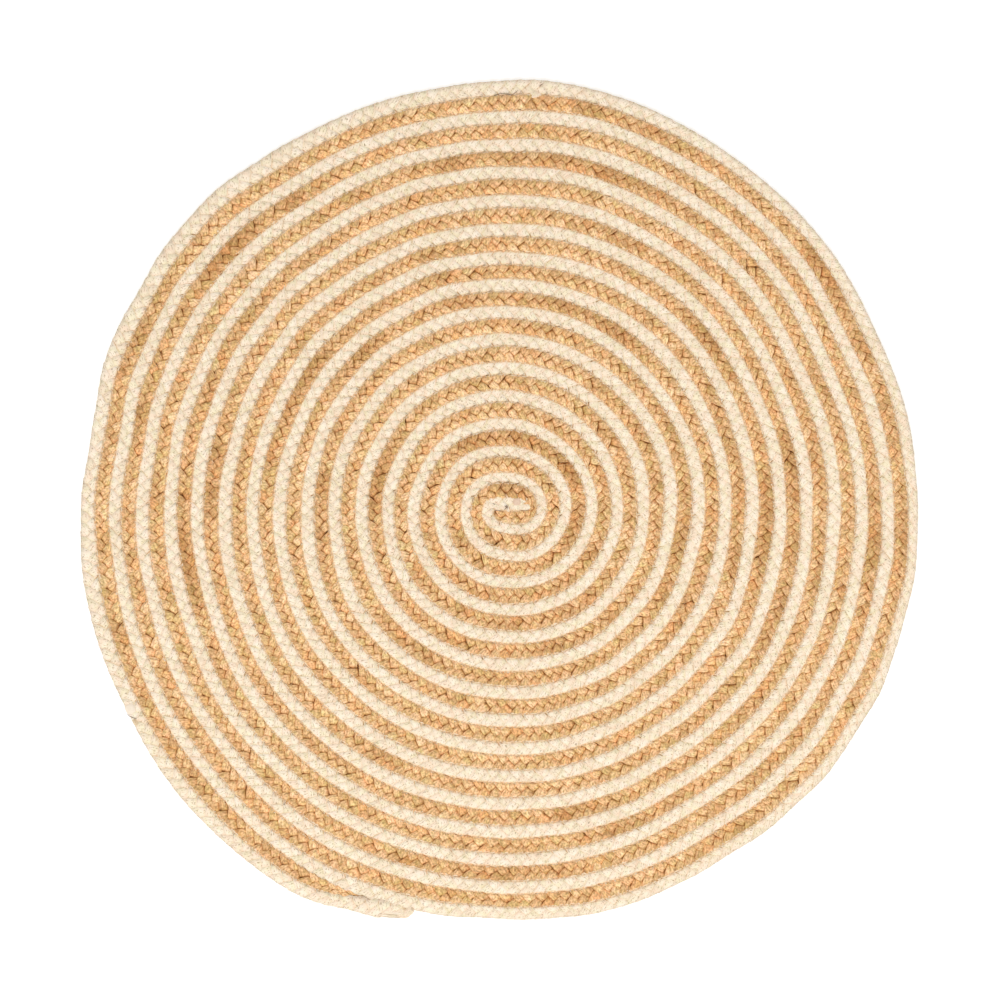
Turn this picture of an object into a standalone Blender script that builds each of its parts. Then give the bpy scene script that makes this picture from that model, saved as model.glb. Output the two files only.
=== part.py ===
"""Round rug of two flat plaits, one of hemp and one of cotton.

The two plaits start side by side in the middle, turn round each other's ends and
are wound outwards together, anticlockwise seen from above, like the two arms of a
double spiral. Each plait is one closed solid that lies flat on the floor, Z = 0.
The origin is on the floor, in the middle of the rug's footprint.

Every turn is laid against the one inside it, so both plaits are drawn between the
same seam lines. A seam line is found from the winding, counted in turns, by
`seam`. Lengths are in metres, bearings are in degrees from +X towards +Y.
"""

import math

import bmesh
import bpy

# Driving sizes
PITCH = 0.02934            # from one turn of cotton to the next: one plait of each
HEMP_THICK = 0.0090
COTTON_THICK = 0.0080
COTTON_WIDTH = 0.0132      # once the first turns are past
COTTON_NARROWING = 0.0028  # how much narrower the first turn is pulled
NARROW_TURNS = 3.5         # over which the narrowing is gone
GAP = 0.0003               # left between two plaits at a seam

# The first straight lengths in the middle, which make the inner turns oval
START_REACH = 0.0168       # half of the straight start
START_FADE = 1.0           # turns over which the oval fades
START_BLUNT = 0.30         # how round the ends of the oval are
START_DIP = -0.0009        # the whole winding starts this much closer in

# Where each plait starts and ends, in turns
COTTON_START = 0.03
COTTON_END = 15.0 + 258.0 / 360.0
HEMP_START = -0.47
HEMP_END = 14.0 + 250.0 / 360.0

# The cotton's last length runs in to the turn inside it, and is pulled thin at its tip
TUCK_START = 15.0 + 239.0 / 360.0
TUCK_END = 15.0 + 255.0 / 360.0
TIP_START = 15.0 + 253.0 / 360.0
TIP_SHARE = 0.45           # of the full width

STEPS = 40                 # cross-sections in one turn
TAIL_BEARING = 240.0       # past it, each plait's last length has twice as many

# How the winding runs off a true round as it grows, per turn: (order, bearing, metres)
LEANS = (
    (1, 202.0, 0.000143),
    (2, 98.0, 0.000184),
)

# Soft bumps and dents, which start in one turn and are passed on to all turns outside it:
# (bearing, spread in degrees, first turn, full by turn, height in metres)
BUMPS = (
    (24.0, 14.0, 8.0, 13.0, -0.0068),
    (50.0, 22.0, 1.0, 3.0, -0.0018),
    (78.0, 13.0, 8.0, 15.0, 0.0066),
    (122.0, 10.0, 6.0, 10.0, -0.0030),
    (141.0, 14.0, 12.0, 16.0, 0.0066),
    (170.0, 6.0, 13.0, 15.0, -0.0026),
    (203.0, 10.0, 8.0, 12.0, -0.0030),
    (208.0, 16.0, 12.0, 16.0, 0.0040),
    (240.0, 12.0, 11.0, 15.0, 0.0036),
    (270.0, 18.0, 1.0, 3.0, -0.0016),
    (287.0, 10.0, 12.0, 15.0, 0.0024),
    (303.0, 11.0, 7.0, 12.0, -0.0036),
    (330.0, 7.0, 12.0, 15.0, -0.0022),
    (333.0, 11.0, 6.0, 10.0, 0.0036),
)

# Cross-section of a plait: (part of the width, part of the thickness), anticlockwise
SECTION = (
    (0.14, 0.0),
    (0.86, 0.0),
    (1.0, 0.48),
    (0.74, 1.0),
    (0.26, 1.0),
    (0.0, 0.48),
)


def clear_scene():
    for obj in list(bpy.data.objects):
        bpy.data.objects.remove(obj, do_unlink=True)


def ease(value, low, high):
    """Rises smoothly from 0 at `low` to 1 at `high`."""
    share = min(max((value - low) / (high - low), 0.0), 1.0)
    return share * share * (3.0 - 2.0 * share)


def cotton_width(turn):
    full = COTTON_WIDTH - COTTON_NARROWING * math.exp(-(turn / NARROW_TURNS) ** 2)
    return full * (1.0 - (1.0 - TIP_SHARE) * ease(turn, TIP_START, COTTON_END))


def spread_from_middle(out, angle):
    """Distance from the middle of what lies `out` turns out, at a bearing in radians."""
    distance = PITCH * out + START_DIP
    for order, bearing, growth in LEANS:
        distance += out * growth * math.cos(order * (angle - math.radians(bearing)))
    for bearing, spread, first, full, height in BUMPS:
        off = (math.degrees(angle) - bearing + 180.0) % 360.0 - 180.0
        distance += height * math.exp(-(off / spread) ** 2) * ease(out, first, full)
    return distance


def seam(turn, side):
    """Plan point of the cotton's outer edge (side 1) or inner edge (side -1)."""
    angle = 2.0 * math.pi * turn
    half = side * (cotton_width(turn) + GAP) / 2.0
    room = PITCH - (cotton_width(turn) + cotton_width(turn - 1.0)) / 2.0 - GAP
    tuck = room * ease(turn, TUCK_START, TUCK_END)
    distance = max(spread_from_middle(turn, angle) + half - tuck, GAP / 2.0)
    flat = math.cos(angle) / math.hypot(math.cos(angle), START_BLUNT)
    stretch = START_REACH * math.exp(-max(turn, 0.0) / START_FADE) * flat
    return (distance * math.cos(angle) + stretch, distance * math.sin(angle))


def cotton_edges(turn):
    """Inner and outer seam point of the cotton plait."""
    return seam(turn, -1), seam(turn, 1)


def hemp_edges(turn):
    """Inner and outer seam point of the hemp plait, which fills what the cotton leaves."""
    return seam(turn, 1), seam(turn + 1.0, -1)


def windings(start, end):
    """Windings of the cross-sections: the same bearings in every turn, and the two ends."""
    tail = math.floor(end) + TAIL_BEARING / 360.0
    halves = range(math.floor(2 * start * STEPS) + 1, math.ceil(2 * end * STEPS))
    turns = [half / (2 * STEPS) for half in halves if half % 2 == 0 or half > 2 * STEPS * tail]
    return [start] + turns + [end]


def plait_rings(edges, start, end, width, thickness):
    """Cross-sections of one plait as lists of points, before it is centred."""
    rings = []
    for turn in windings(start, end):
        inner, outer = edges(turn)
        across = math.dist(inner, outer)
        inset = GAP / 2.0 / across
        height = thickness * min(1.0, math.sqrt(across / width))
        ring = []
        for part, level in SECTION:
            share = inset + (1.0 - 2.0 * inset) * part
            x = inner[0] + (outer[0] - inner[0]) * share
            y = inner[1] + (outer[1] - inner[1]) * share
            ring.append((x, y, level * height))
        rings.append(ring)
    return rings


def footprint_middle(all_rings):
    xs = [point[0] for ring in all_rings for point in ring]
    ys = [point[1] for ring in all_rings for point in ring]
    return (min(xs) + max(xs)) / 2.0, (min(ys) + max(ys)) / 2.0


def make_material(name, colour, roughness):
    material = bpy.data.materials.new(name)
    material.use_nodes = True
    shader = material.node_tree.nodes["Principled BSDF"]
    shader.inputs["Base Color"].default_value = (*colour, 1.0)
    shader.inputs["Roughness"].default_value = roughness
    shader.inputs["Metallic"].default_value = 0.0
    return material


def make_plait(name, rings, middle, material):
    """One plait as a closed solid: its cross-sections joined by bands, with both ends closed."""
    bm = bmesh.new()
    loops = []
    for ring in rings:
        loops.append([bm.verts.new((x - middle[0], y - middle[1], z)) for x, y, z in ring])
    count = len(SECTION)
    for loop, following in zip(loops, loops[1:]):
        for i in range(count):
            j = (i + 1) % count
            bm.faces.new((loop[i], loop[j], following[j], following[i]))
    bm.faces.new(list(reversed(loops[0])))
    bm.faces.new(loops[-1])
    bmesh.ops.recalc_face_normals(bm, faces=bm.faces)
    mesh = bpy.data.meshes.new(name)
    bm.to_mesh(mesh)
    bm.free()
    mesh.shade_smooth()
    mesh.set_sharp_from_angle(angle=math.radians(60.0))
    mesh.materials.append(material)
    plait = bpy.data.objects.new(name, mesh)
    bpy.context.scene.collection.objects.link(plait)
    return plait


def main():
    clear_scene()
    cotton = plait_rings(cotton_edges, COTTON_START, COTTON_END, COTTON_WIDTH, COTTON_THICK)
    hemp = plait_rings(hemp_edges, HEMP_START, HEMP_END, PITCH - COTTON_WIDTH, HEMP_THICK)
    middle = footprint_middle(cotton + hemp)
    make_plait("hemp_braid", hemp, middle, make_material("hemp", (0.52, 0.33, 0.14), 0.85))
    make_plait("cotton_braid", cotton, middle, make_material("cotton", (0.90, 0.80, 0.62), 0.9))


main()
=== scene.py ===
# %% [markdown]
# # A round rug, plaited and sewn
#
# The rug is made of two long flat plaits. One is golden hemp and one is cream cotton, and each has
# three strands. They start side by side in the middle, are wound outwards together, and a zigzag
# of thread under the rug holds every turn to the turn inside it. The frame below holds each
# plait as one plain solid of the right size. Here the real strands take the place of those solids.

# %% Open the frame
import math

import bmesh
import bpy
import numpy as np
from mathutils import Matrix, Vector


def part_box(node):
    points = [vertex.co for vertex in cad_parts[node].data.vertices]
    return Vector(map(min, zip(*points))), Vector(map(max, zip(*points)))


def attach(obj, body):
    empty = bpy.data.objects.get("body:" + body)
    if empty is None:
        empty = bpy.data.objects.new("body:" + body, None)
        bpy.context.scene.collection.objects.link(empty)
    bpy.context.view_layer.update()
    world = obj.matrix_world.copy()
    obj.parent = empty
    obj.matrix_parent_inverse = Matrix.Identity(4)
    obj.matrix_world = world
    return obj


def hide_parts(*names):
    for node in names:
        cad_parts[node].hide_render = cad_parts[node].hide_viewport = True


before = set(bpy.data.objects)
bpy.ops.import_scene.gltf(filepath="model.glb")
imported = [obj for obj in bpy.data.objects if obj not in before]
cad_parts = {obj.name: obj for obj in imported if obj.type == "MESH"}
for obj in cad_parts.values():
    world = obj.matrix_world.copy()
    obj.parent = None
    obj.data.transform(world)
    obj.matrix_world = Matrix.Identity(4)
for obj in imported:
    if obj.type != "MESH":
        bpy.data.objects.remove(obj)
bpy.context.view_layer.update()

HEMP_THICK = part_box("hemp_braid")[1][2]
COTTON_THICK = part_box("cotton_braid")[1][2]
print("plaits", round(HEMP_THICK * 1000, 1), "and", round(COTTON_THICK * 1000, 1), "mm thick")

# %% [markdown]
# ## The winding
#
# A wound rug could be drawn with Blender's own spiral curve, but a real one is never an even
# spiral: it is oval in the middle, because the plaits start as two straight lengths, and a dent or
# a bump in one turn is handed on to the turns outside it. So the winding is a formula that gives
# the distance from the middle for any number of turns, and two tables hold its leans and bumps.

# %% How far out a turn lies
PITCH = 0.02939            # one turn of both plaits, side by side
START_DIP = -0.0020        # the whole winding starts this much closer in
LEANS = (                  # how it runs off round: (order, bearing in degrees, metres per turn)
    (1, 214.0, 0.000070),
    (2, 92.0, 0.000190),
)
BUMPS = (                  # (bearing, spread in degrees, first turn, full by turn, metres)
    (8.0, 24.0, 9.0, 11.0, 0.0012),
    (10.0, 9.0, 13.5, 14.8, -0.0022),
    (20.0, 6.0, 12.5, 15.0, 0.0018),
    (24.0, 14.0, 8.0, 13.0, -0.0068),
    (28.0, 26.0, 12.4, 14.0, -0.0018),
    (50.0, 22.0, 1.0, 3.0, -0.0018),
    (52.0, 14.0, 6.0, 7.5, 0.0012),
    (54.0, 14.0, 13.5, 14.8, -0.0016),
    (72.0, 12.0, 11.5, 13.0, -0.0018),
    (76.0, 28.0, 0.5, 3.0, -0.0020),
    (76.0, 28.0, 5.0, 7.0, 0.0018),
    (78.0, 13.0, 8.0, 15.0, 0.0066),
    (88.0, 6.0, 14.2, 15.0, 0.0012),
    (90.0, 16.0, 8.0, 9.0, -0.0014),
    (92.0, 14.0, 10.5, 12.0, 0.0014),
    (122.0, 10.0, 6.0, 10.0, -0.0030),
    (141.0, 14.0, 12.0, 16.0, 0.0066),
    (145.0, 7.0, 14.3, 15.3, -0.0026),
    (158.0, 14.0, 7.0, 8.5, -0.0016),
    (160.0, 14.0, 10.0, 11.2, 0.0016),
    (165.0, 6.0, 10.5, 12.0, 0.0012),
    (170.0, 6.0, 13.0, 15.0, -0.0026),
    (175.0, 28.0, 3.0, 4.5, -0.0020),
    (180.0, 32.0, 1.0, 2.0, 0.0018),
    (203.0, 10.0, 8.0, 12.0, -0.0030),
    (206.0, 7.0, 14.5, 15.4, -0.0018),
    (208.0, 16.0, 12.0, 16.0, 0.0040),
    (212.0, 14.0, 3.5, 4.5, 0.0013),
    (217.0, 14.0, 12.3, 13.2, -0.0028),
    (220.0, 12.0, 14.2, 15.2, 0.0020),
    (240.0, 12.0, 11.0, 15.0, 0.0036),
    (262.0, 22.0, 8.0, 9.5, 0.0010),
    (268.0, 8.0, 14.4, 14.7, -0.0018),
    (270.0, 18.0, 1.0, 3.0, -0.0016),
    (287.0, 10.0, 12.0, 15.0, 0.0024),
    (293.0, 14.0, 2.0, 3.0, -0.0016),
    (293.0, 14.0, 4.0, 5.5, 0.0014),
    (295.0, 14.0, 12.3, 13.2, -0.0020),
    (303.0, 11.0, 7.0, 12.0, -0.0036),
    (305.0, 14.0, 13.4, 14.2, 0.0024),
    (323.0, 14.0, 7.0, 8.2, -0.0013),
    (323.0, 14.0, 9.2, 10.5, 0.0014),
    (330.0, 7.0, 12.0, 15.0, -0.0022),
    (333.0, 11.0, 6.0, 10.0, 0.0036),
)


def ease(value, low, high):
    """Rises smoothly from 0 at low to 1 at high."""
    share = np.clip((value - low) / (high - low), 0.0, 1.0)
    return share * share * (3.0 - 2.0 * share)


def spread_from_middle(out, angle):
    """How far from the middle the cotton's middle line is after this many turns."""
    distance = PITCH * out + START_DIP
    for order, bearing, growth in LEANS:
        distance = distance + out * growth * np.cos(order * (angle - math.radians(bearing)))
    for bearing, spread, first, full, height in BUMPS:
        off = (np.degrees(angle) - bearing + 180.0) % 360.0 - 180.0
        distance = distance + height * np.exp(-((off / spread) ** 2)) * ease(out, first, full)
    return distance


# %% [markdown]
# ## The seam lines
#
# Two plaits that touch share an edge, so it is the edges that are worked out. The cotton keeps
# its own width, and the hemp fills what the cotton leaves, as it does when the maker pulls the
# turns tight.

# %% Where the cotton's edges run
COTTON_WIDTH = 0.0132
COTTON_NARROWING = 0.0028  # how much narrower the first turn is pulled
NARROW_TURNS = 3.5         # over which the narrowing is gone
GAP = 0.0003               # between two plaits
START_REACH = 0.0168       # half of the straight lengths in the middle
START_FADE = 1.3           # turns over which the oval fades
START_BLUNT = 0.30         # how round the ends of the oval are
COTTON_END = 15.0 + 256.6 / 360.0
HEMP_START, HEMP_END = -0.47, 14.0 + 251.2 / 360.0
TUCK_START, TUCK_END = 15.0 + 240.0 / 360.0, 15.0 + 254.5 / 360.0    # the tail is tucked in here
TIP_START, TIP_SHARE = 15.0 + 251.5 / 360.0, 0.45                    # and its tip thins to this share


def cotton_width(turn):
    """It grows to its full width over the first turns, and thins again at its tip."""
    full = COTTON_WIDTH - COTTON_NARROWING * np.exp(-((turn / NARROW_TURNS) ** 2))
    return full * (1.0 - (1.0 - TIP_SHARE) * ease(turn, TIP_START, COTTON_END))


def seam(turn, side):
    """Plan points of the cotton's outer edge (side 1) or inner edge (side -1)."""
    angle = 2.0 * np.pi * turn
    half = side * (cotton_width(turn) + GAP) / 2.0
    room = PITCH - (cotton_width(turn) + cotton_width(turn - 1.0)) / 2.0 - GAP
    tuck = room * ease(turn, TUCK_START, TUCK_END)
    distance = np.maximum(spread_from_middle(turn, angle) + half - tuck, GAP / 2.0)
    flat = np.cos(angle) / np.hypot(np.cos(angle), START_BLUNT)
    stretch = START_REACH * np.exp(-np.maximum(turn, 0.0) / START_FADE) * flat
    return np.stack([distance * np.cos(angle) + stretch, distance * np.sin(angle)], axis=1)


def cotton_edges(turn):
    return seam(turn, -1), seam(turn, 1)


def hemp_edges(turn):
    return seam(turn, 1), seam(turn + 1.0, -1)


SHIFT = np.array((0.0104, -0.0104))    # where the winding starts, from the rug's middle
rim = np.vstack([*cotton_edges(np.linspace(14.0, COTTON_END, 4000))]) + SHIFT
print("the rim runs from", np.round(rim.min(axis=0), 4), "to", np.round(rim.max(axis=0), 4))

# %% [markdown]
# ## The way of a plait
#
# A strand goes over and under at even steps along the plait, not at even angles, so the plait's
# middle line is measured with a running sum of short lengths. Both plaits also change a little on
# their way: the cotton starts thick, its last turn has no neighbour outside it and is slack in some
# places and tight in others, and its tail is pulled in and folded under. Small waves of unlike
# length stand for the maker's uneven pull. They come from sines, so that every run gives the
# same rug.

# %% A plait as a measured line
TRY_STEPS = 24000
COTTON_SHOWN_FROM = 0.17     # the first bit of the cotton is folded in, and is a piece of its own
RIM_NARROWER = 0.0024        # the outermost turn is this much narrower, but for these places
RIM_WIDTHS = (               # (bearing, spread in degrees, metres)
    (125.0, 8.0, 0.0014),
    (150.0, 80.0, 0.0038),
    (172.0, 9.0, -0.0028),
    (352.0, 16.0, -0.0026),
)
START_FOLD_TURNS = 0.42      # over which the thick start goes
PULL_FROM, PULL_TO = 15.0 + 244.0 / 360.0, 15.0 + 250.0 / 360.0
FOLD_FROM, FOLD_TO = 15.0 + 247.0 / 360.0, 15.0 + 252.5 / 360.0
START_CHANGE = (0.0022, 0.0034)    # metres that it moves outwards, and that half of it grows
PULL_CHANGE = (-0.0018, 0.0004)
FOLD_CHANGE = (0.0022, 0.0014)


def measure_plait(edges, start, end, extra):
    """A table along a plait: the run in metres, its middle, the way across and half its width."""
    turn = np.linspace(start, end, TRY_STEPS)
    inner, outer = edges(turn)
    wide = np.linalg.norm(outer - inner, axis=1)
    across = (outer - inner) / wide[:, None]
    pushed, widened = extra(turn)
    middle = (inner + outer) / 2.0 + across * pushed[:, None]
    run = np.concatenate([[0.0], np.cumsum(np.hypot(*np.diff(middle, axis=0).T))])
    return {"run": run, "middle": middle + SHIFT, "across": across, "half": wide / 2.0 + widened}


def hemp_extra(turn):
    """The hemp is squeezed a little where both plaits start."""
    start = np.exp(-(((turn + 0.2) / 0.25) ** 2))
    return 0.0005 * start, -0.0004 * start


def rim_growth(turn):
    """How much wider the cotton's last turn is."""
    grown = np.full_like(turn, -RIM_NARROWER)
    for bearing, spread, wider in RIM_WIDTHS:
        off = (360.0 * turn - bearing + 180.0) % 360.0 - 180.0
        grown += wider * np.exp(-((off / spread) ** 2))
    return grown * ease(turn, COTTON_END - 1.05, COTTON_END - 0.95)


def cotton_extra(turn):
    """The cotton starts thick, and at the tail it is pulled in, then folded under and so wider."""
    start = np.exp(-((turn / START_FOLD_TURNS) ** 2))
    rim = rim_growth(turn) / 2.0
    pull = ease(turn, PULL_FROM, PULL_TO)
    fold = ease(turn, FOLD_FROM, FOLD_TO)
    pushed, widened = (
        change[0] * start + rim + change[1] * pull + change[2] * fold
        for change in zip(START_CHANGE, PULL_CHANGE, FOLD_CHANGE)
    )
    return pushed, widened


WANDER_STRETCHES = (0.57, 1.0, 1.71, 2.83)    # a mix of wave lengths that hardly ever repeats
WANDER_TOP = 2.4                              # the sum of such waves is mostly less than this
HAND_WAVES = (0.058, 0.071, 0.086, 0.104, 0.133, 0.17)
HAND_PUSH = 0.00042                           # how far each of these waves moves a point
HAND_SEED = 11


def wander(along, wave, seed):
    """Smooth unevenness between about -1 and 1, whose waves are about this long."""
    dice = np.random.default_rng(seed)
    total = np.zeros_like(along)
    for stretch in WANDER_STRETCHES:
        total += np.sin(2.0 * np.pi * along / (wave * stretch) + dice.uniform(0.0, 2.0 * np.pi))
    return total / WANDER_TOP


def hand_uneven(plan):
    """Plan points moved a little this way and that, as by hands that pull unevenly."""
    dice = np.random.default_rng(HAND_SEED)
    moved = plan.copy()
    for wave in HAND_WAVES:
        bearing, phase, push = dice.uniform(0.0, 2.0 * np.pi, 3)
        level = np.sin(2.0 * np.pi / wave * (plan @ [np.cos(bearing), np.sin(bearing)]) + phase)
        moved += HAND_PUSH * level[..., None] * np.array([np.cos(push), np.sin(push)])
    return moved


hemp_line = measure_plait(hemp_edges, HEMP_START, HEMP_END, hemp_extra)
cotton_line = measure_plait(cotton_edges, COTTON_SHOWN_FROM, COTTON_END, cotton_extra)
print("hemp", round(hemp_line["run"][-1], 2), "m, cotton", round(cotton_line["run"][-1], 2), "m")

# %% [markdown]
# ## How a strand folds
#
# In a flat plait of three, each strand slants across the top from an edge to the middle, dives
# under the strand that comes from the other edge, slants on across the underside, and folds
# over that edge to the top again. A bevelled curve could follow this, but it would bend
# in the corners where a real strand folds like a ribbon. So the strand is drawn straight on a
# flat strip, and the strip is folded: the number `across` below runs on and on, and each time that
# it reaches an edge it is wrapped round the edge and sent back on the other face.

# %% The two plaits in numbers
STRANDS = 3
HEMP = {
    "name": "hemp",
    "line": hemp_line,
    "width": PITCH - COTTON_WIDTH,
    "thick": HEMP_THICK,
    "lobe": (0.0107, 0.0124),  # from one visible lobe to the next, at the start and at the end
    "strand": (0.0104, 0.0054),
    "soft": 0.50,              # how boxy a strand's section is
    "fold": 0.0042,            # length of strip that a fold takes, per radian
    "dive": 0.0032,            # length over which a strand dives in the middle
    "tilt": 0.0007,            # how far each strand's back edge stands up over its neighbour
    "stations": 18,            # rings for each over and under
    "sides": 8,                # faces round a strand
    "uneven": 1.0,             # how unevenly it is plaited
    "snug": 0.0005,            # how far it presses into its neighbours
    "round": 0.7,              # below 1, an edge is fuller than a half circle
    "edge_light": 0.2,         # how much less painted shade and dust the gaps get at its edges
    "rim_from": hemp_line["run"][-1],     # it has cotton at both sides all the way
    "tail_from": hemp_line["run"][-1],
}
COTTON = {
    "name": "cotton",
    "line": cotton_line,
    "width": COTTON_WIDTH,
    "thick": COTTON_THICK,
    "lobe": (0.0124, 0.0138),
    "strand": (0.0114, 0.0060),
    "soft": 0.42,
    "fold": 0.0036,
    "dive": 0.0044,
    "tilt": 0.0002,
    "stations": 15,
    "sides": 6,
    "uneven": 0.7,
    "snug": 0.0026,
    "round": 0.48,
    "edge_light": 0.4,
    "rim_from": cotton_line["run"][-1] - 2.93,     # from here on its outer side is the rug's rim
    "tail_from": cotton_line["run"][-1] - 0.13,    # from here on it lies against cotton
}
LEAN_AT = (0.0, 0.22, 0.42, 0.60, 0.72, 1.0)    # from a fold to the middle
LEAN = (1.7, 1.4, 0.6, 0.6, 1.05, 1.05)         # how fast a strand gets on along the plait there


def strip_width(plait):
    """The strip's width from fold to fold."""
    return plait["width"] + 2.0 * plait["snug"] - plait["thick"] + math.pi * plait["fold"]


for plait in (HEMP, COTTON):
    steep = 2.0 * strip_width(plait)
    slants = [round(math.degrees(math.atan2(steep, STRANDS * lobe))) for lobe in plait["lobe"]]
    print(plait["name"], "strands slant", slants[0], "to", slants[1], "degrees")

# %% [markdown]
# The fold itself: near an edge the point goes round it, between the edges it runs straight, and
# in the middle the whole strand sinks from the top layer to the bottom one. The third number
# tells how deep a point lies under the plait's skin. The finishes darken deep points by it, as
# painted shade and dust between the strands.

# %% Fold a strip into a plait


def fold_strip(plait, centre, across, out):
    """Where points of the strip go: across the plait, up from its middle, and depth in it."""
    wide = strip_width(plait)
    layer = (plait["thick"] - plait["strand"][1]) / 2.0
    fold = np.rint(across / wide)
    side = 1.0 - 2.0 * (np.abs(fold) % 2)
    past = across - fold * wide
    past_centre = centre - np.rint(centre / wide) * wide
    angle = np.clip(past / plait["fold"], -np.pi / 2.0, np.pi / 2.0)
    round_x = np.abs(np.cos(angle)) ** plait["round"]
    round_z = np.abs(np.sin(angle)) ** plait["round"]
    straight = np.maximum(np.abs(past) - plait["fold"] * np.pi / 2.0, 0.0)
    sink = np.sin(np.pi / 2.0 * np.minimum((wide / 2.0 - np.abs(past_centre)) / plait["dive"], 1.0))
    level = np.where(np.abs(past_centre) < wide / 4.0, np.sign(past), np.sign(past_centre) * sink)
    half = plait["width"] / 2.0 + plait["snug"] - plait["thick"] / 2.0
    x = side * (half - straight + (layer + out * side) * round_x)
    z = round_z * (layer * level + out * side * np.sign(past))
    reach = np.where(round_x > 0.01, layer + out * side, np.abs(z))
    return x, z, 1.0 - np.clip(reach / (plait["thick"] / 2.0), 0.0, 1.0)


# %% [markdown]
# On a real plait a strand runs nearly along the edge while it folds, then turns sharply in, so
# the creases near the edges are steep. `lean_shift` slides the points of the strip along the
# plait to give this bend. It changes nothing at the folds and in the middle, so the strands still meet.

# %% The bend of a strand


def lean_shift(plait, across, slant):
    """How far points of the strip slide along the plait, in metres."""
    wide = strip_width(plait)
    place = np.linspace(0.0, 1.0, 101)
    speed = np.interp(place, LEAN_AT, LEAN)
    gone = np.concatenate([[0.0], np.cumsum((speed[1:] + speed[:-1]) / 2.0)])
    gone = gone / gone[-1]
    past = (across - np.rint(across / wide) * wide) / (wide / 2.0)
    bend = np.sign(past) * (np.interp(np.abs(past), place, gone) - np.abs(past))
    return bend * wide / 2.0 / np.tan(slant)


# %% [markdown]
# ## A strand
#
# Each strand starts as a flat ribbon of faces from `bmesh.ops.create_grid`, whose UVs come with
# it. The ribbon is rolled into a soft flat tube, folded as above and laid along the winding, and
# `remove_doubles` closes the tube. This cell works out where the rings of the tube lie.
#
# Each point also keeps three values for the finishes, because they can't be told from its place
# alone. Its depth tells how far it lies under the plait's skin, and the finishes paint shade by it.
# Its zone changes slowly along the plait, as one bundle of fibre runs out and the next is laid in.
# Its side tells where across the plait it is, so that the edges can take fibres of the plait next
# to it, and so that the flanks and edges get their painted shade and light.

# %% Where a strand's rings lie


def along_line(plait, run):
    line = plait["line"]
    read = lambda values: np.interp(run, line["run"], values)
    middle = np.stack([read(line["middle"][:, 0]), read(line["middle"][:, 1])], axis=-1)
    across = np.stack([read(line["across"][:, 0]), read(line["across"][:, 1])], axis=-1)
    return middle, across, read(line["half"])


END_RINGS = 2.0            # a strand's end is rounded off over this many rings
REST = 0.00015             # the underside lies flat on the floor
HAND_PULLS = ((0.0020, 0.17), (0.0010, 0.05))    # all three strands slide: (metres, wave)
OWN_PULLS = ((0.0007, 0.04),)                    # and each slides a little by itself
FATTER = ((0.09, 0.045),)                        # a strand gets fatter: (share, wave)
TALLER = ((0.08, 0.06),)
THINNED = 0.04                                   # and an uneven one is flatter by this share
ZONE_WAVES = ((0.34, 0.55), (0.20, 0.10))        # the slow colour change: (share, wave)
EDGE_FROM, EDGE_TO = 0.38, 0.5                   # shares of the width where the edge lies
SIDE_SPAN = 0.024          # this far across a plait, its side value runs from 0 to 1
RIM_SIDE = 0.7             # the most on the rug's rim, where no hemp lies outside the cotton
TAIL_SIDE = 0.36           # the least on the tail, where no hemp lies inside it


def add_waves(run, waves, seed):
    """The sum of waves, each given as (size, wave)."""
    return sum(size * wander(run, wave, seed + more) for more, (size, wave) in enumerate(waves))


def lobe_size(plait, run):
    """The lobes get longer outwards, where the turns bend less."""
    near, far = plait["lobe"]
    return near + (far - near) * np.sqrt(run / plait["line"]["run"][-1])


def side_value(plait, run, x):
    """0.5 in the middle of the plait, and about 0.2 and 0.8 where it meets the other plait."""
    side = 0.5 + x / SIDE_SPAN
    side = np.where(run > plait["rim_from"], np.minimum(side, RIM_SIDE), side)
    return np.where(run > plait["tail_from"], np.maximum(side, TAIL_SIDE), side)


def strand_stations(plait, number, seed):
    """For each ring: how many times the strand has folded, its run, and the size of its lobe."""
    length = plait["line"]["run"][-1]
    steps = np.linspace(0.0, length, TRY_STEPS)
    folds = np.cumsum(np.diff(steps, prepend=0.0) / (STRANDS * lobe_size(plait, steps)))
    phase = np.arange(int(folds[-1] * plait["stations"])) / plait["stations"]
    run = np.interp(phase, folds, steps)
    size = lobe_size(plait, run)
    pull = add_waves(run, HAND_PULLS, seed)
    own = add_waves(run, OWN_PULLS, seed + 2 + number)
    return phase, np.clip(run + (pull + own) * plait["uneven"], 0.0, length), size


def strand_section(plait, number, seed, run, size, lean):
    """The strand's soft flat outline on each ring: along its width and through its thickness."""
    uneven = plait["uneven"]
    count = len(run)
    ends = np.minimum(np.arange(count), np.arange(count)[::-1]) / END_RINGS
    close = np.sqrt(1.0 - (1.0 - np.minimum(ends, 1.0)) ** 2)
    turn = 2.0 * np.pi * np.arange(plait["sides"]) / plait["sides"]
    shape_v = np.sign(np.cos(turn)) * np.abs(np.cos(turn)) ** plait["soft"]
    shape_n = np.sign(np.sin(turn)) * np.abs(np.sin(turn)) ** plait["soft"]
    fat = size / np.mean(plait["lobe"]) * (1.0 + uneven * add_waves(run, FATTER, seed + 10 + number))
    tall = 1.0 + uneven * (add_waves(run, TALLER, seed + 20 + number) - THINNED)
    v = shape_v[None, :] * (plait["strand"][0] / 2.0 * fat * close)[:, None]
    n = shape_n[None, :] * (plait["strand"][1] / 2.0 * tall * close)[:, None]
    return v, n + shape_v[None, :] * (plait["tilt"] * close * lean)[:, None]


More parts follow.
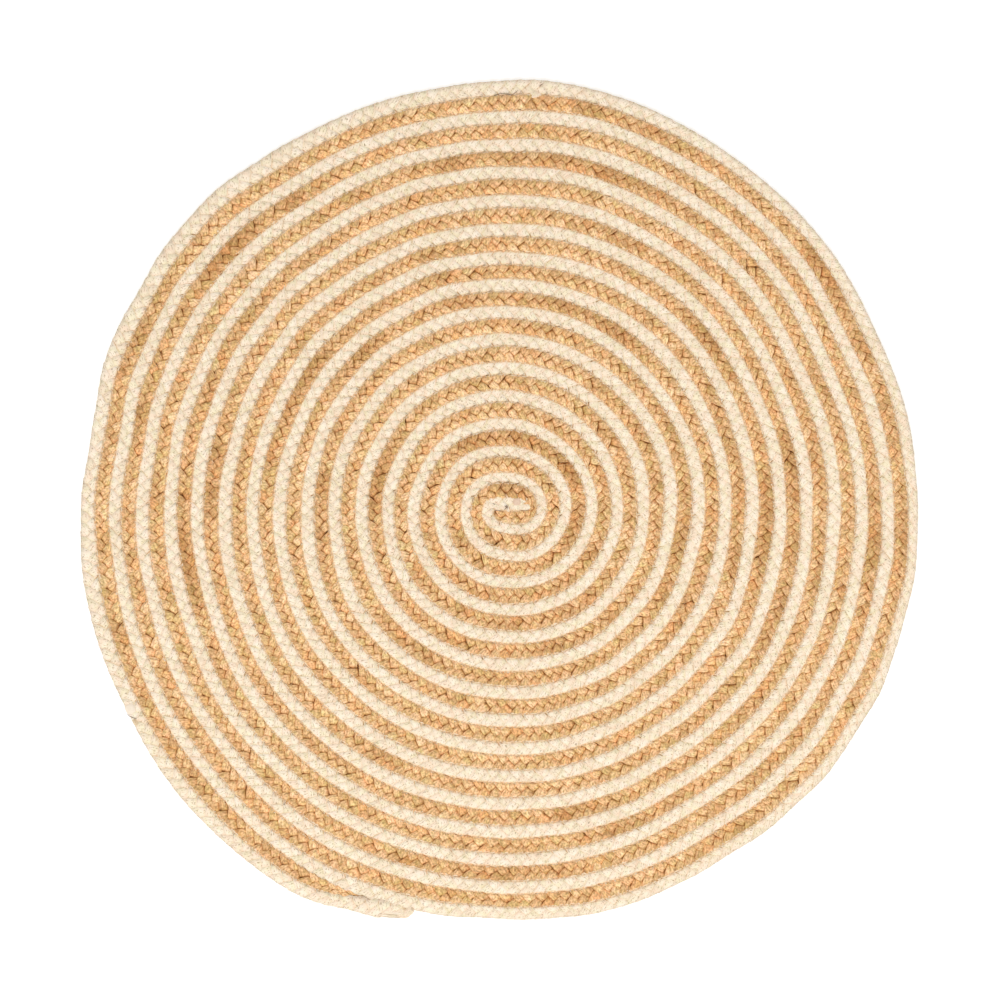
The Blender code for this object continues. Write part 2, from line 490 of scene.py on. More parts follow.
def strand_rings(plait, number, seed):
    """Rings of points round one strand: (stations, sides, 3), and the values of each point."""
    wide = strip_width(plait)
    phase, run, size = strand_stations(plait, number, seed)
    slant = np.arctan2(2.0 * wide, STRANDS * size)[:, None]
    centre = 2.0 * wide * (phase + number / STRANDS)
    v, n = strand_section(plait, number, seed, run, size, np.cos(np.pi * centre / wide))
    across = centre[:, None] + v * np.cos(slant)
    x, z, depth = fold_strip(plait, centre[:, None], across, n)
    along = run[:, None] - v * np.sin(slant) + lean_shift(plait, across, slant)
    middle, way, half = along_line(plait, along)
    squeeze = half * 2.0 / plait["width"]
    plan = hand_uneven(middle + way * (x * squeeze)[..., None])
    lift = np.maximum((plait["thick"] / 2.0 + z) * np.sqrt(squeeze), REST)
    zone = 0.5 + add_waves(run, ZONE_WAVES, seed + 30)
    # the depth is cut near the plait's edges, so the seams get less painted shade
    edge = ease(np.abs(x), EDGE_FROM * plait["width"], EDGE_TO * plait["width"])
    values = {
        "depth": depth * (1.0 - plait["edge_light"] * edge),
        "zone": np.repeat(zone, depth.shape[1]).reshape(depth.shape),
        "side": side_value(plait, run[:, None], x),
    }
    return np.concatenate([plan, lift[..., None]], axis=-1), values


# %% [markdown]
# The ribbon's own UVs tell how far each corner is along the strand and round it. From them come
# two maps: `Fibre` in real metres, which the fibre pattern follows, and `OFBake`, where the long
# strand lies in rows like lines of text, so that a baked picture can hold all of it.

# %% Roll a ribbon into a strand
BAKE_ROWS = 40
ROW_MARGIN = 0.06          # left free above and below a strand in its row
END_MARGIN = 0.002         # and at both ends of the row


def keep_value(mesh, label, values):
    mesh.attributes.new(label, "FLOAT", "POINT").data.foreach_set("value", values)


def roll_ribbon(name, rings, values, girth, offset):
    """One strand as a mesh: a grid whose points are moved to the rings, and then closed."""
    count, sides = rings.shape[:2]
    length = np.linalg.norm(np.diff(rings.mean(axis=1), axis=0), axis=1).sum()
    bm = bmesh.new()
    bm.loops.layers.uv.new("Fibre")
    bmesh.ops.create_grid(bm, x_segments=count - 1, y_segments=sides, size=0.5, calc_uvs=True)
    mesh = bpy.data.meshes.new(name)
    bm.to_mesh(mesh)
    bm.free()
    flat = np.empty(len(mesh.vertices) * 3)
    mesh.vertices.foreach_get("co", flat)
    flat = flat.reshape(-1, 3)
    station = np.rint((flat[:, 0] + 0.5) * (count - 1)).astype(int)
    corner = np.rint((flat[:, 1] + 0.5) * sides).astype(int) % sides
    mesh.vertices.foreach_set("co", rings[station, corner].ravel())
    for label, value in values.items():
        keep_value(mesh, label, value[station, corner])
    map_strand(mesh, count, length, girth, offset)
    bm = bmesh.new()
    bm.from_mesh(mesh)
    bmesh.ops.remove_doubles(bm, verts=bm.verts, dist=1e-6)
    bmesh.ops.recalc_face_normals(bm, faces=bm.faces)
    bm.to_mesh(mesh)
    bm.free()
    mesh.shade_smooth()
    strand = bpy.data.objects.new(name, mesh)
    bpy.context.scene.collection.objects.link(strand)
    return strand, length


def map_strand(mesh, count, length, girth, offset):
    """Turn the grid's own UVs into the two maps."""
    fibre = mesh.uv_layers["Fibre"]
    corners = np.empty(len(mesh.loops) * 2)
    fibre.uv.foreach_get("vector", corners)
    corners = corners.reshape(-1, 4, 2)
    station = corners[:, :, 0] * (count - 1)
    per_row = math.ceil((count - 1) / BAKE_ROWS)
    row = np.floor((station.min(axis=1) + 0.5) / per_row)[:, None]
    bake = np.empty_like(corners)
    bake[:, :, 0] = END_MARGIN + (1.0 - 2.0 * END_MARGIN) * (station - row * per_row) / per_row
    bake[:, :, 1] = (row + ROW_MARGIN + (1.0 - 2.0 * ROW_MARGIN) * corners[:, :, 1]) / BAKE_ROWS
    metres = corners * [length, girth] + [offset, 0.0]
    fibre.uv.foreach_set("vector", metres.ravel())
    mesh.uv_layers.new(name="OFBake").uv.foreach_set("vector", bake.ravel())


GIRTH_SHARE = 1.2          # the way round a strand, from its width and thickness together
STRAND_APART = 40.0        # metres between two strands on the Fibre map, so that none look alike


def make_strand(plait, number, seed):
    rings, values = strand_rings(plait, number, seed)
    girth = GIRTH_SHARE * sum(plait["strand"])
    name = f"{plait['name']}_strand_{number + 1}"
    strand, length = roll_ribbon(name, rings, values, girth, STRAND_APART * number)
    print(name, round(length, 2), "m,", 2 * len(strand.data.polygons), "triangles")
    return strand


# %% [markdown]
# Now the six strands can be made, three for each plait. The same numbers give the same rug in every
# run, because each kind of unevenness has a seed of its own.

# %% Plait the strands
HEMP_SEED = 3
COTTON_SEED = 107
hemp_strands = [make_strand(HEMP, number, HEMP_SEED) for number in range(STRANDS)]
cotton_strands = [make_strand(COTTON, number, COTTON_SEED) for number in range(STRANDS)]

# %% [markdown]
# ## Finishes
#
# Both yarns get their colour from patterns on the `Fibre` map, so that streaks run along each
# strand wherever it turns. A picture could hold such streaks, but it would be large and would
# blur close up, and noise stretched along one axis does the same at any size.
#
# The seam between two real plaits is ragged, because fibres of each lie over the other. That is a
# matter of colour more than of shape, so `fringe` finds ragged spots along a strand's edges from
# the side value and some noise, and the finish takes the other plait's colour there.

# %% Helpers for patterns


def new_material(name, roughness):
    material = bpy.data.materials.new(name)
    material.use_nodes = True
    shader = material.node_tree.nodes["Principled BSDF"]
    shader.inputs["Roughness"].default_value = roughness
    shader.inputs["Specular IOR Level"].default_value = 0.2
    return material, material.node_tree.nodes, material.node_tree.links


def fibre_map(nodes, links, bend):
    """The Fibre map, with lines that wander sideways by up to this many metres."""
    fibre = nodes.new("ShaderNodeUVMap")
    fibre.uv_map = "Fibre"
    sway = nodes.new("ShaderNodeTexNoise")
    sway.inputs["Scale"].default_value = 90.0
    sway.inputs["Detail"].default_value = 1.0
    offset = nodes.new("ShaderNodeVectorMath")
    offset.operation = "MULTIPLY_ADD"
    offset.inputs[1].default_value = (0.0, bend, 0.0)
    links.new(fibre.outputs["UV"], sway.inputs["Vector"])
    links.new(sway.outputs["Color"], offset.inputs[0])
    links.new(fibre.outputs["UV"], offset.inputs[2])
    return offset.outputs["Vector"]


def grain(nodes, links, source, sizes, detail, place=0.0):
    """Noise with grains of these sizes in metres, along and across the strand."""
    mapping = nodes.new("ShaderNodeMapping")
    mapping.inputs["Location"].default_value = (place, place, 0.0)
    mapping.inputs["Scale"].default_value = (1.0 / sizes[0], 1.0 / sizes[1], 1.0)
    noise = nodes.new("ShaderNodeTexNoise")
    noise.noise_dimensions = "2D"
    noise.inputs["Scale"].default_value = 1.0
    noise.inputs["Detail"].default_value = detail
    links.new(source, mapping.inputs["Vector"])
    links.new(mapping.outputs["Vector"], noise.inputs["Vector"])
    return noise.outputs["Fac"]


def ramp(nodes, links, source, stops):
    """Colours or grey values at these places of a 0 to 1 value."""
    node = nodes.new("ShaderNodeValToRGB")
    band = node.color_ramp
    while len(band.elements) < len(stops):
        band.elements.new(0.5)
    for element, (place, colour) in zip(band.elements, stops):
        element.position = place
        element.color = (*colour, 1.0) if isinstance(colour, tuple) else (colour,) * 3 + (1.0,)
    links.new(source, node.inputs["Fac"])
    return node.outputs["Color"]


def blend(nodes, links, mode, share, first, second):
    """Mix two colours. The share is a number or a socket, the second a colour or a socket."""
    node = nodes.new("ShaderNodeMix")
    node.data_type = "RGBA"
    node.blend_type = mode
    for value, socket in ((share, node.inputs[0]), (first, node.inputs[6]), (second, node.inputs[7])):
        if isinstance(value, bpy.types.NodeSocket):
            links.new(value, socket)
        elif isinstance(value, tuple):
            socket.default_value = (*value, 1.0)
        else:
            socket.default_value = value
    return node.outputs[2]


def by_value(nodes, links, label, stops):
    """How much of a strand's own colour is left, by one of the values kept on its points."""
    value = nodes.new("ShaderNodeAttribute")
    value.attribute_name = label
    return ramp(nodes, links, value.outputs["Fac"], stops)


RAGGED = 0.25              # how far the noise moves the line where the fringe ends


def fringe(nodes, links, spots, stops):
    """Where loose fibres of the plait next to it lie over a strand: in spots along its edges."""
    side = nodes.new("ShaderNodeAttribute")
    side.attribute_name = "side"
    ragged = nodes.new("ShaderNodeMath")
    ragged.operation = "MULTIPLY_ADD"
    ragged.inputs[1].default_value = RAGGED
    links.new(spots, ragged.inputs[0])
    links.new(side.outputs["Fac"], ragged.inputs[2])
    return ramp(nodes, links, ragged.outputs["Value"], stops)


def raise_bump(nodes, links, shader, parts):
    """Bump from (height, strength, distance) parts, one on top of the other."""
    normal = None
    for height, strength, distance in parts:
        bump = nodes.new("ShaderNodeBump")
        bump.inputs["Strength"].default_value = strength
        bump.inputs["Distance"].default_value = distance
        links.new(height, bump.inputs["Height"])
        if normal:
            links.new(normal, bump.inputs["Normal"])
        normal = bump.outputs["Normal"]
    links.new(normal, shader.inputs["Normal"])


# %% [markdown]
# Hemp is a stem fibre that is only combed and bundled, so neighbouring bundles differ: most are
# straw gold, some orange, some olive or grey where the stem was weathered. Fine fibres run along
# every strand, and the gaps between strands are darkened brown by painted shade and dust. Each
# turn leans on the one outside it: the flank on that side gets a little painted shade, the other
# flank a little painted light.

# %% Hemp


def hemp_material():
    material, nodes, links = new_material("combed hemp", 0.8)
    shader = nodes["Principled BSDF"]
    lines = fibre_map(nodes, links, 0.0016)
    bundles = grain(nodes, links, lines, (0.021, 0.030), 1.0)
    colour = ramp(nodes, links, bundles, (
        (0.25, (0.70, 0.425, 0.195)),
        (0.40, (0.795, 0.488, 0.232)),
        (0.55, (0.865, 0.547, 0.275)),
        (0.75, (0.92, 0.620, 0.342)),
    ))
    hue = grain(nodes, links, lines, (0.026, 0.040), 1.0, 7.3)
    tint = ramp(nodes, links, hue, (
        (0.28, (0.93, 0.985, 0.88)),
        (0.42, (1.0, 1.0, 1.0)),
        (0.60, (1.0, 1.0, 1.0)),
        (0.72, (1.04, 0.93, 0.83)),
    ))
    mottle = grain(nodes, links, lines, (0.0055, 0.0040), 2.0, 6.1)
    patchy = ramp(nodes, links, mottle, (
        (0.30, (0.95, 0.99, 0.87)),
        (0.50, (1.0, 1.0, 1.0)),
        (0.70, (1.06, 0.97, 0.99)),
    ))
    streaks = grain(nodes, links, lines, (0.0042, 0.0010), 3.0, 1.7)
    stripe = ramp(nodes, links, streaks, (
        (0.30, (0.54, 0.49, 0.42)),
        (0.50, (1.0, 1.0, 1.0)),
        (0.70, (1.24, 1.29, 1.38)),
    ))
    hairs = grain(nodes, links, lines, (0.009, 0.00035), 2.0, 4.9)
    hair = ramp(nodes, links, hairs, ((0.30, 0.74), (0.50, 1.0), (0.70, 1.14)))
    bits = grain(nodes, links, lines, (0.0021, 0.0010), 0.0, 9.4)
    bit = ramp(nodes, links, bits, (
        (0.24, (0.50, 0.44, 0.36)),
        (0.50, (1.0, 1.0, 1.0)),
        (0.76, (1.32, 1.38, 1.48)),
    ))
    # painted shade and dust in the gaps between strands, darker the deeper a point lies
    shade = by_value(nodes, links, "depth", (
        (0.14, (1.0, 1.0, 1.0)),
        (0.28, (0.92, 0.86, 0.77)),
        (0.42, (0.60, 0.45, 0.31)),
        (0.60, (0.30, 0.19, 0.11)),
    ))
    zone = by_value(nodes, links, "zone", (
        (0.05, (0.80, 0.72, 0.62)),
        (0.32, (0.96, 0.94, 0.92)),
        (0.60, (1.0, 1.0, 1.0)),
        (0.90, (1.03, 1.04, 1.08)),
    ))
    # painted shade on the flank towards the next turn outside, painted light on the inner flank
    flank_shade_and_light = by_value(nodes, links, "side", ((0.22, 1.09), (0.50, 1.0), (0.78, 0.90)))
    for share, layer in (
        (1.0, tint), (1.0, patchy), (1.0, zone), (0.5, stripe), (0.7, hair), (0.55, bit), (1.0, flank_shade_and_light),
        (1.0, shade),
    ):
        colour = blend(nodes, links, "MULTIPLY", share, colour, layer)
    spots = grain(nodes, links, lines, (0.0020, 0.0014), 2.0, 11.2)
    over = fringe(nodes, links, spots, ((0.305, 0.8), (0.33, 0.0), (0.91, 0.0), (0.935, 0.8)))
    colour = blend(nodes, links, "MIX", over, colour, (0.88, 0.74, 0.56))
    links.new(colour, shader.inputs["Base Color"])
    raise_bump(nodes, links, shader, ((streaks, 0.8, 0.0006), (hairs, 0.6, 0.0002)))
    return material


# %% [markdown]
# The cotton is made of soft yarns laid side by side. Left unbleached, it is cream, with small
# grey-brown flecks of seed husk, and the painted shade in its creases is faint. Next to the hemp
# its edges get a little painted warm light, as if thrown back by the hemp.

# %% Cotton


def cotton_material():
    material, nodes, links = new_material("unbleached cotton", 0.92)
    shader = nodes["Principled BSDF"]
    lines = fibre_map(nodes, links, 0.0010)
    base = grain(nodes, links, lines, (0.020, 0.012), 2.0)
    colour = ramp(nodes, links, base, (
        (0.30, (0.86, 0.72, 0.54)),
        (0.50, (0.92, 0.78, 0.60)),
        (0.70, (0.93, 0.81, 0.65)),
    ))
    hue = grain(nodes, links, lines, (0.0065, 0.0050), 2.0, 3.7)
    tint = ramp(nodes, links, hue, (
        (0.30, (0.96, 0.99, 0.90)),
        (0.50, (1.0, 1.0, 1.0)),
        (0.70, (1.01, 0.94, 0.93)),
    ))
    flecks = grain(nodes, links, lines, (0.0028, 0.0005), 2.0, 2.3)
    fleck = ramp(nodes, links, flecks, (
        (0.26, (0.54, 0.48, 0.39)),
        (0.43, (1.0, 1.0, 1.0)),
        (0.70, (1.06, 1.07, 1.09)),
    ))
    husks = grain(nodes, links, lines, (0.0026, 0.0010), 0.0, 5.9)
    husk = ramp(nodes, links, husks, ((0.11, (0.42, 0.36, 0.30)), (0.17, (1.0, 1.0, 1.0))))
    # painted shade in the creases, darker the deeper a point lies
    shade = by_value(nodes, links, "depth", (
        (0.14, (1.0, 1.0, 1.0)),
        (0.32, (0.97, 0.955, 0.93)),
        (0.50, (0.86, 0.79, 0.70)),
        (0.70, (0.74, 0.62, 0.49)),
    ))
    # painted warm light at the cotton's edges, as if thrown back by the hemp
    hemp_bounce_light = by_value(nodes, links, "side", (
        (0.24, (1.06, 1.0, 0.92)),
        (0.29, (1.0, 1.0, 1.0)),
        (0.71, (1.0, 1.0, 1.0)),
        (0.76, (1.07, 0.98, 0.86)),
    ))
    for share, layer in ((1.0, tint), (0.9, fleck), (0.65, husk), (1.0, hemp_bounce_light), (1.0, shade)):
        colour = blend(nodes, links, "MULTIPLY", share, colour, layer)
    spots = grain(nodes, links, lines, (0.0020, 0.0014), 2.0, 11.2)
    over = fringe(nodes, links, spots, ((0.33, 0.8), (0.355, 0.0), (0.885, 0.0), (0.91, 0.8)))
    colour = blend(nodes, links, "MIX", over, colour, (0.80, 0.52, 0.28))
    links.new(colour, shader.inputs["Base Color"])
    yarns = grain(nodes, links, lines, (0.030, 0.0012), 1.0, 8.1)
    raise_bump(nodes, links, shader, ((yarns, 0.5, 0.0006), (flecks, 0.4, 0.0003)))
    return material


hemp_fibre = hemp_material()
cotton_fibre = cotton_material()
for strands, material, node, slot in (
    (hemp_strands, hemp_fibre, "hemp_braid", "hemp"),
    (cotton_strands, cotton_fibre, "cotton_braid", "cotton"),
):
    for strand in strands:
        strand.data.materials.append(material)
        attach(strand, "root")
        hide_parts(node)

# %% [markdown]
# ## Ends and joins
#
# The maker's joins are what tells a real rug from a drawn one. The cotton's first end is folded in
# beside the middle, and its last end is folded under and sewn down along the rim. New cotton was
# let in at two places: once as a tongue that pushes into the hemp, and once under a smooth
# band. The flap and the band are worn smooth and the stub is a duller straw, so they get a plainer
# finish, which wavers between two colours. So do the threads and the loose fibres further down.

# %% Plain finishes for ends, bands and threads


def plain_finish(name, roughness, low, high, size):
    """A finish that wavers between two colours in spots of this size."""
    material, nodes, links = new_material(name, roughness)
    place = nodes.new("ShaderNodeTexCoord")
    noise = nodes.new("ShaderNodeTexNoise")
    noise.inputs["Scale"].default_value = 1.0 / size
    noise.inputs["Detail"].default_value = 3.0
    links.new(place.outputs["Object"], noise.inputs["Vector"])
    colour = ramp(nodes, links, noise.outputs["Fac"], ((0.30, low), (0.70, high)))
    links.new(colour, nodes["Principled BSDF"].inputs["Base Color"])
    raise_bump(nodes, links, nodes["Principled BSDF"], ((noise.outputs["Fac"], 0.5, 0.0002),))
    return material


band_cotton = plain_finish("smooth cotton", 0.85, (0.82, 0.70, 0.56), (0.88, 0.76, 0.62), 0.0030)
flap_cotton = plain_finish("rosy cotton", 0.85, (0.68, 0.48, 0.35), (0.80, 0.60, 0.46), 0.0030)
# a dull straw for the joined stub, darker and greyer than the hemp
dull_straw = plain_finish("dull straw", 0.85, (0.64, 0.48, 0.30), (0.80, 0.64, 0.44), 0.0025)
# brown lines of painted shade for the wrinkles of the folded end
crease_shade = plain_finish("crease shade", 0.90, (0.52, 0.40, 0.27), (0.70, 0.57, 0.42), 0.0020)
# dark sewing thread for the knot; the same colour draws the painted shade lines by the tongue and band
dark_thread_and_shade = plain_finish("dark thread and shade", 0.80, (0.13, 0.075, 0.05), (0.30, 0.19, 0.13), 0.0015)
straw_hair = plain_finish("loose straw", 0.75, (0.62, 0.37, 0.16), (1.0, 0.80, 0.52), 0.0080)
fluff = plain_finish("cotton fluff", 0.90, (0.88, 0.74, 0.56), (0.97, 0.88, 0.76), 0.0080)
thread_finish = plain_finish("sewing thread", 0.80, (0.66, 0.52, 0.34), (0.82, 0.68, 0.48), 0.0040)

# %% [markdown]
# Each folded end, band or stub is a ball from `bmesh.ops.create_uvsphere`, flattened, made a little
# boxy, wrinkled and laid in its place. That is simpler than to bend the plait itself there, and it
# closes over the ends of the strands.

# %% Lay the folded ends and the bands
PATCHES = (    # name, middle, bearing of its length, (length, width, thickness), height, boxy, wrinkles
    ("folded_start", (0.0238, -0.0073), 0.0, (0.0186, 0.0074, 0.0070), 0.0046, 0.70, 0.0002),
    ("start_turn", (0.0000, -0.0076), -8.0, (0.0200, 0.0072, 0.0068), 0.0048, 0.80, 0.0003),
    ("start_flap", (0.0180, -0.0018), 10.0, (0.0084, 0.0076, 0.0030), 0.0078, 0.75, 0.0002),
    ("middle_hemp", (0.0262, -0.0012), -35.0, (0.0120, 0.0080, 0.0076), 0.0042, 0.80, 0.0003),
    ("join_tongue", (0.0384, 0.4337), 175.0, (0.0128, 0.0088, 0.0064), 0.0062, 0.90, 0.0003),
    ("join_band", (-0.3958, -0.2238), 119.0, (0.0122, 0.0112, 0.0078), 0.0054, 0.70, 0.0),
    ("join_stub", (-0.3905, -0.2380), 121.0, (0.0090, 0.0056, 0.0072), 0.0050, 0.80, 0.0003),
    ("folded_end", (-0.1112, -0.4441), -5.0, (0.0290, 0.0084, 0.0074), 0.0040, 0.75, 0.0004),
    ("end_corner", (-0.0986, -0.4420), 34.0, (0.0140, 0.0086, 0.0076), 0.0044, 0.85, 0.0003),
)
PATCH_FINISHES = {
    "start_flap": flap_cotton,
    "join_band": band_cotton,
    "join_stub": dull_straw,
    "middle_hemp": hemp_fibre,
}


def soft_patch(name, middle, bearing, size, height, boxy, wrinkles):
    bm = bmesh.new()
    bm.loops.layers.uv.new("Fibre")
    bmesh.ops.create_uvsphere(bm, u_segments=40, v_segments=24, radius=1.0, calc_uvs=True)
    tilt = math.radians(bearing)
    for vert in bm.verts:
        x, y, z = (math.copysign(abs(value) ** boxy, value) for value in vert.co)
        crease = wrinkles * math.sin(14.0 * y + 2.0 * x + 3.0 * math.sin(2.0 * x))
        along, side = x * size[0] / 2.0, y * size[1] / 2.0
        vert.co.x = middle[0] + along * math.cos(tilt) - side * math.sin(tilt)
        vert.co.y = middle[1] + along * math.sin(tilt) + side * math.cos(tilt)
        vert.co.z = max(height + z * (size[2] / 2.0 + crease), REST)
    fibre = bm.loops.layers.uv["Fibre"]
    for face in bm.faces:
        for loop in face.loops:
            loop[fibre].uv = (loop[fibre].uv.x * size[0] * 2.0, loop[fibre].uv.y * size[1] * 2.0)
    bmesh.ops.remove_doubles(bm, verts=bm.verts, dist=1e-7)
    bmesh.ops.recalc_face_normals(bm, faces=bm.faces)
    mesh = bpy.data.meshes.new(name)
    bm.to_mesh(mesh)
    bm.free()
    for label in ("zone", "side"):
        keep_value(mesh, label, np.full(len(mesh.vertices), 0.5))
    mesh.shade_smooth()
    finish = PATCH_FINISHES.get(name, cotton_fibre)
    return add_piece(name, mesh, finish)


def add_piece(name, mesh, material):
    piece = bpy.data.objects.new(name, mesh)
    bpy.context.scene.collection.objects.link(piece)
    mesh.materials.append(material)
    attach(piece, "root")
    return piece


for patch in PATCHES:
    print("laid", soft_patch(*patch).name)

# %% [markdown]
# ## Threads, hairs and fluff
#
# A curve with a round bevel is the easiest way to make thread: give it points, and Blender puts a
# tube round them. The curve is then turned into a mesh. A knot of dark sewing thread lies in the
# middle. Beside the tongue and under the band the same dark lines are painted shade, along a seam
# and in creases. Two pale loose ends lie at the knot. The folded end has no such dark line, but
# brown lines of painted shade in its creases, which are laid the same way.

# %% Dark thread and painted shade lines
DARK_LINES_MM = (    # (height over the floor, plan points from the middle), in millimetres
    (9.7, ((4.8, -10.4), (6.2, -8.8), (7.4, -7.4), (9.0, -6.0))),
    (9.5, ((5.0, -6.2), (6.4, -7.2), (7.6, -8.2), (9.0, -8.8))),
    (9.4, ((6.8, -5.6), (7.2, -7.0), (6.6, -8.6))),
    (9.2, ((-7.6, -4.0), (-6.6, -4.2), (-5.8, -5.2))),
    # beside the tongue and under the band: dark lines of painted shade along a seam and in creases
    (8.8, ((-6.2, 433.2), (-2.9, 434.0), (0.5, 435.4), (5.9, 435.1), (11.0, 433.9), (13.4, 433.9),
           (15.6, 435.5), (18.6, 438.2))),
    (8.8, ((42.2, 443.0), (43.8, 444.3), (45.6, 445.6))),
    (8.4, ((-398.9, -229.0), (-397.8, -230.8), (-395.3, -232.4), (-392.0, -233.6), (-389.3, -234.2))),
)
CREASE_SHADE_MM = (       # the same, for lines of painted shade in the wrinkles of the folded end
    (8.0, ((-131.0, -443.0), (-125.2, -443.3), (-119.8, -443.9), (-113.4, -444.6), (-106.0, -444.6))),
    (7.4, ((-124.0, -446.6), (-117.0, -447.3), (-108.0, -447.0), (-101.5, -446.6))),
    (8.4, ((-95.2, -436.4), (-93.8, -438.8), (-92.8, -440.8))),
)
LOOSE_HEIGHT_MM = 9.6
LOOSE_ENDS_MM = (
    ((8.2, -7.6), (9.2, -9.4), (9.0, -11.4), (8.2, -12.6)),
    ((6.0, -8.2), (6.6, -10.2), (7.6, -11.4)),
)
DARK_THICK = 0.0006        # in metres, like the next two
CREASE_SHADE_THICK = 0.0006
LOOSE_THICK = 0.0007
DIP_MM, DIP_POINTS = 0.8, 0.5    # a line's ends dip this deep, over this share of a point's step


def lay_threads(name, lines, thick, material):
    """Round threads along lists of points, first as one curve and then as a mesh."""
    curve = bpy.data.curves.new(name, "CURVE")
    curve.dimensions = "3D"
    curve.bevel_depth = thick / 2.0
    curve.bevel_resolution = 0
    curve.use_fill_caps = True
    for line in lines:
        spline = curve.splines.new("POLY")
        spline.points.add(len(line) - 1)
        spline.points.foreach_set("co", np.column_stack([line, np.ones(len(line))]).ravel())
    shape = bpy.data.objects.new(name, curve)
    mesh = bpy.data.meshes.new_from_object(shape)
    bpy.data.objects.remove(shape)
    bpy.data.curves.remove(curve)
    mesh.materials.clear()
    mesh.shade_smooth()
    triangles = sum(len(face.vertices) - 2 for face in mesh.polygons)
    print(name, len(lines), "threads", triangles, "triangles")
    return add_piece(name, mesh, material)


def smooth_line(points, height, steps=5):
    """More points on a soft line through these, ends dipping into the plait."""
    points = np.array(points, dtype=float)
    place = np.linspace(0.0, len(points) - 1.0, (len(points) - 1) * steps + 1)
    soft = np.stack([np.interp(place, np.arange(len(points)), axis) for axis in points.T], axis=1)
    for _ in range(3):
        soft[1:-1] = (soft[:-2] + 2.0 * soft[1:-1] + soft[2:]) / 4.0
    dip = np.minimum(place, place[::-1])
    level = height - DIP_MM * np.exp(-((dip / DIP_POINTS) ** 2))
    return np.column_stack([soft, level]) / 1000.0


dark_lines = [smooth_line(points, height) for height, points in DARK_LINES_MM]
lay_threads("dark_thread_and_shade", dark_lines, DARK_THICK, dark_thread_and_shade)
crease_shade_lines = [smooth_line(points, height) for height, points in CREASE_SHADE_MM]
lay_threads("end_crease_shade", crease_shade_lines, CREASE_SHADE_THICK, crease_shade)
loose_lines = [smooth_line(points, LOOSE_HEIGHT_MM) for points in LOOSE_ENDS_MM]
lay_threads("loose_thread_ends", loose_lines, LOOSE_THICK, fluff)

# %% [markdown]
# Hemp is hairy: fibre ends work loose from every strand and lie about in all directions. The
# cotton has finer fluff, which blurs its edge against the hemp. The plaits were drawn too clean, and
# these loose fibres take that look away.

# %% Loose hairs and fluff
HAIR_THICK, HAIR_SEED = 0.00022, 31
FLUFF_THICK, FLUFF_SEED = 0.00020, 47
SUNK = 0.0004              # their ends lie this much below the plait's top
SLANT = 0.9                # the spread of their slant against the plait's way, in radians
BEND = 1.1                 # the most that they bend, in radians


def loose_fibres(plait, count, reach, lengths, rise, seed):
    """Short bent lines on top of a plait, whose ends dip into it. The reach is how far from the
    plait's middle they lie, as shares of half its width."""
    dice = np.random.default_rng(seed)
    share = np.linspace(-0.5, 0.5, 5)
    line = plait["line"]
    run = dice.uniform(0.02, line["run"][-1] - 0.02, count)[:, None]
    side = (dice.choice([-1.0, 1.0], count) * dice.uniform(*reach, count))[:, None]
    way = dice.normal(0.0, SLANT, count)[:, None]
    long = dice.uniform(*lengths, count)[:, None]
    bend = dice.uniform(-BEND, BEND, count)[:, None]
    high = dice.uniform(*rise, count)[:, None]
    middle, across, half = along_line(plait, run + share * long * np.cos(way))
    over = side * half[:, 2:3] + share * long * np.sin(way + bend * share)
    plan = hand_uneven(middle + across * over[..., None])
    level = plait["thick"] - SUNK + (high + SUNK) * (1.0 - (2.0 * share) ** 2)
    return np.concatenate([plan, level[..., None]], axis=-1)


hairs = loose_fibres(HEMP, 1500, (0.0, 1.0), (0.005, 0.014), (0.0002, 0.0010), HAIR_SEED)
lay_threads("hemp_hairs", hairs, HAIR_THICK, straw_hair)
soft_hairs = loose_fibres(COTTON, 1000, (0.75, 1.15), (0.003, 0.008), (0.0001, 0.0007), FLUFF_SEED)
lay_threads("cotton_fluff", soft_hairs, FLUFF_THICK, fluff)

# %% [markdown]
# Under the rug a sewing thread runs to and fro across every seam and holds the turns together. It
# goes a little way into each plait and shows only from below.

# %% Sewing thread on the underside
STITCH = 0.0140            # from one stitch to the next on the same side
STITCH_REACH = 0.0036      # how far it goes into each plait
STITCH_THICK = 0.0008
STITCH_HEIGHT = 0.0007     # of the thread's middle, over the floor


def zigzag(edge, start, end, extra_turn, side):
    """Points that go to and fro across a seam."""
    turn = np.linspace(start, end, TRY_STEPS)
    points = edge(turn + extra_turn, side) + SHIFT
    run = np.concatenate([[0.0], np.cumsum(np.hypot(*np.diff(points, axis=0).T))])
    stops = np.arange(0.0, run[-1], STITCH / 2.0)
    spots = np.stack([np.interp(stops, run, points[:, axis]) for axis in (0, 1)], axis=1)
    along = np.gradient(spots, axis=0)
    away = np.stack([along[:, 1], -along[:, 0]], axis=1)
    away = away / np.linalg.norm(away, axis=1)[:, None]
    swing = np.where(np.arange(len(stops)) % 2, STITCH_REACH, -STITCH_REACH)[:, None]
    plan = hand_uneven(spots + away * swing)
    return np.column_stack([plan, np.full(len(stops), STITCH_HEIGHT)])


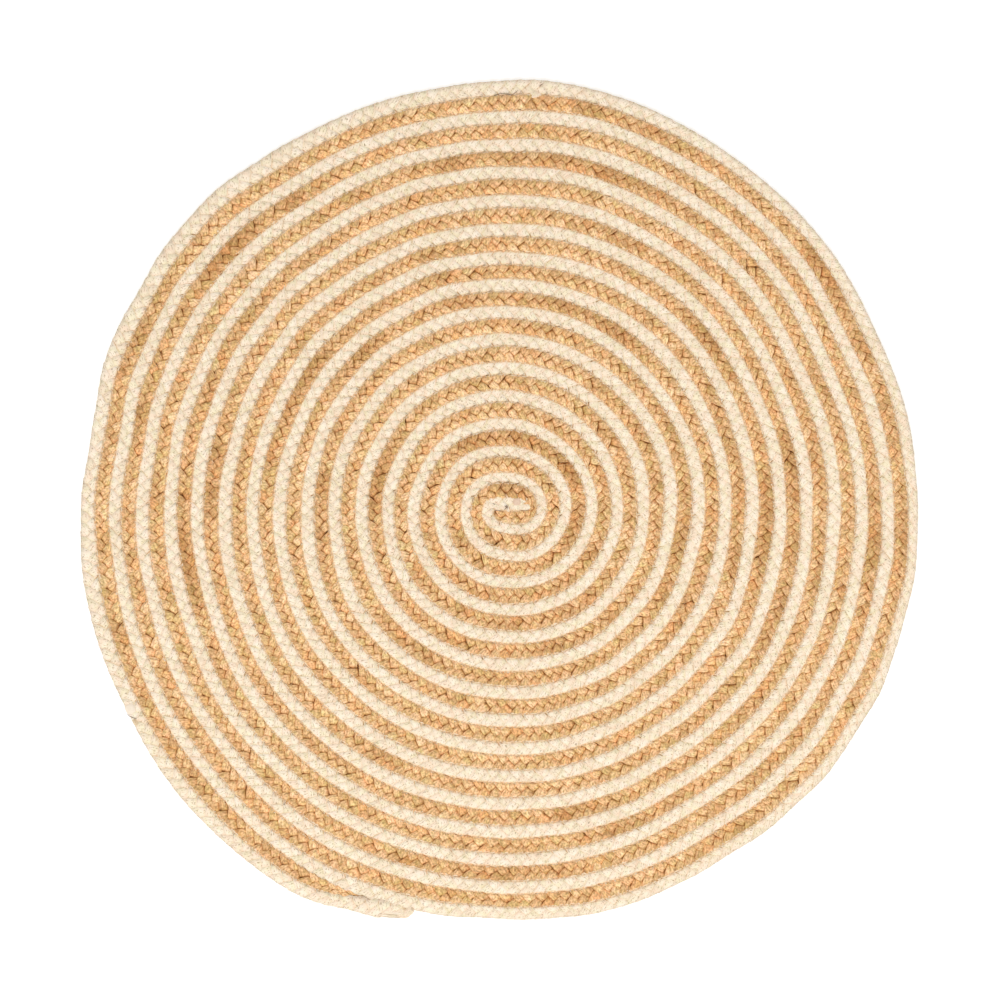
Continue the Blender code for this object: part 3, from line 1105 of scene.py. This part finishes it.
stitches = [
    zigzag(seam, 0.6, HEMP_END - 0.02, 0.0, 1),
    zigzag(seam, 0.1, HEMP_END - 0.02, 1.0, -1),
]
lay_threads("sewing_thread", stitches, STITCH_THICK, thread_finish)

# %% [markdown]
# ## Floor, light and camera
#
# The floor is a large pale plane. It glows a little, like a light table, so that no dark line is
# left round the rim. The room gives light from everywhere, and one large square lamp beyond the
# end of the rug adds enough direction to bring out the strands. A small lamp would draw hard
# shadows in every gap. The camera hangs straight above, as far up as its lens needs to see the
# whole rug.

# %% Set the studio
bpy.ops.mesh.primitive_plane_add(size=40.0, location=(0.0, 0.0, -0.0003))
floor = bpy.context.object
floor.name = "floor"
floor_paint, nodes, links = new_material("pale floor", 0.9)
lit_floor = nodes["Principled BSDF"]
lit_floor.inputs["Base Color"].default_value = (0.95, 0.95, 0.95, 1.0)
lit_floor.inputs["Emission Color"].default_value = (1.0, 1.0, 1.0, 1.0)
lit_floor.inputs["Emission Strength"].default_value = 0.18
floor.data.materials.append(floor_paint)

world = bpy.data.worlds.new("soft room")
bpy.context.scene.world = world
world.use_nodes = True
world.node_tree.nodes["Background"].inputs["Color"].default_value = (1.0, 1.0, 1.0, 1.0)
world.node_tree.nodes["Background"].inputs["Strength"].default_value = 0.87

lamp_data = bpy.data.lights.new("soft box", "AREA")
lamp_data.shape = "SQUARE"
lamp_data.size = 2.0
lamp_data.energy = 42.0
lamp = bpy.data.objects.new("soft box", lamp_data)
bpy.context.scene.collection.objects.link(lamp)
lamp.location = (-0.3, -2.0, 3.0)
lamp.rotation_euler = (math.radians(33.7), 0.0, math.radians(-8.5))

VIEW_WIDTH = 1.0744        # metres of floor from side to side of the view
camera_data = bpy.data.cameras.new("camera")
camera_data.lens = 85.0
camera_data.sensor_width = 36.0
camera = bpy.data.objects.new("camera", camera_data)
camera.location = (0.0, 0.0, VIEW_WIDTH * camera_data.lens / camera_data.sensor_width)
bpy.context.scene.collection.objects.link(camera)
bpy.context.scene.camera = camera
bpy.context.scene.view_settings.view_transform = "Standard"
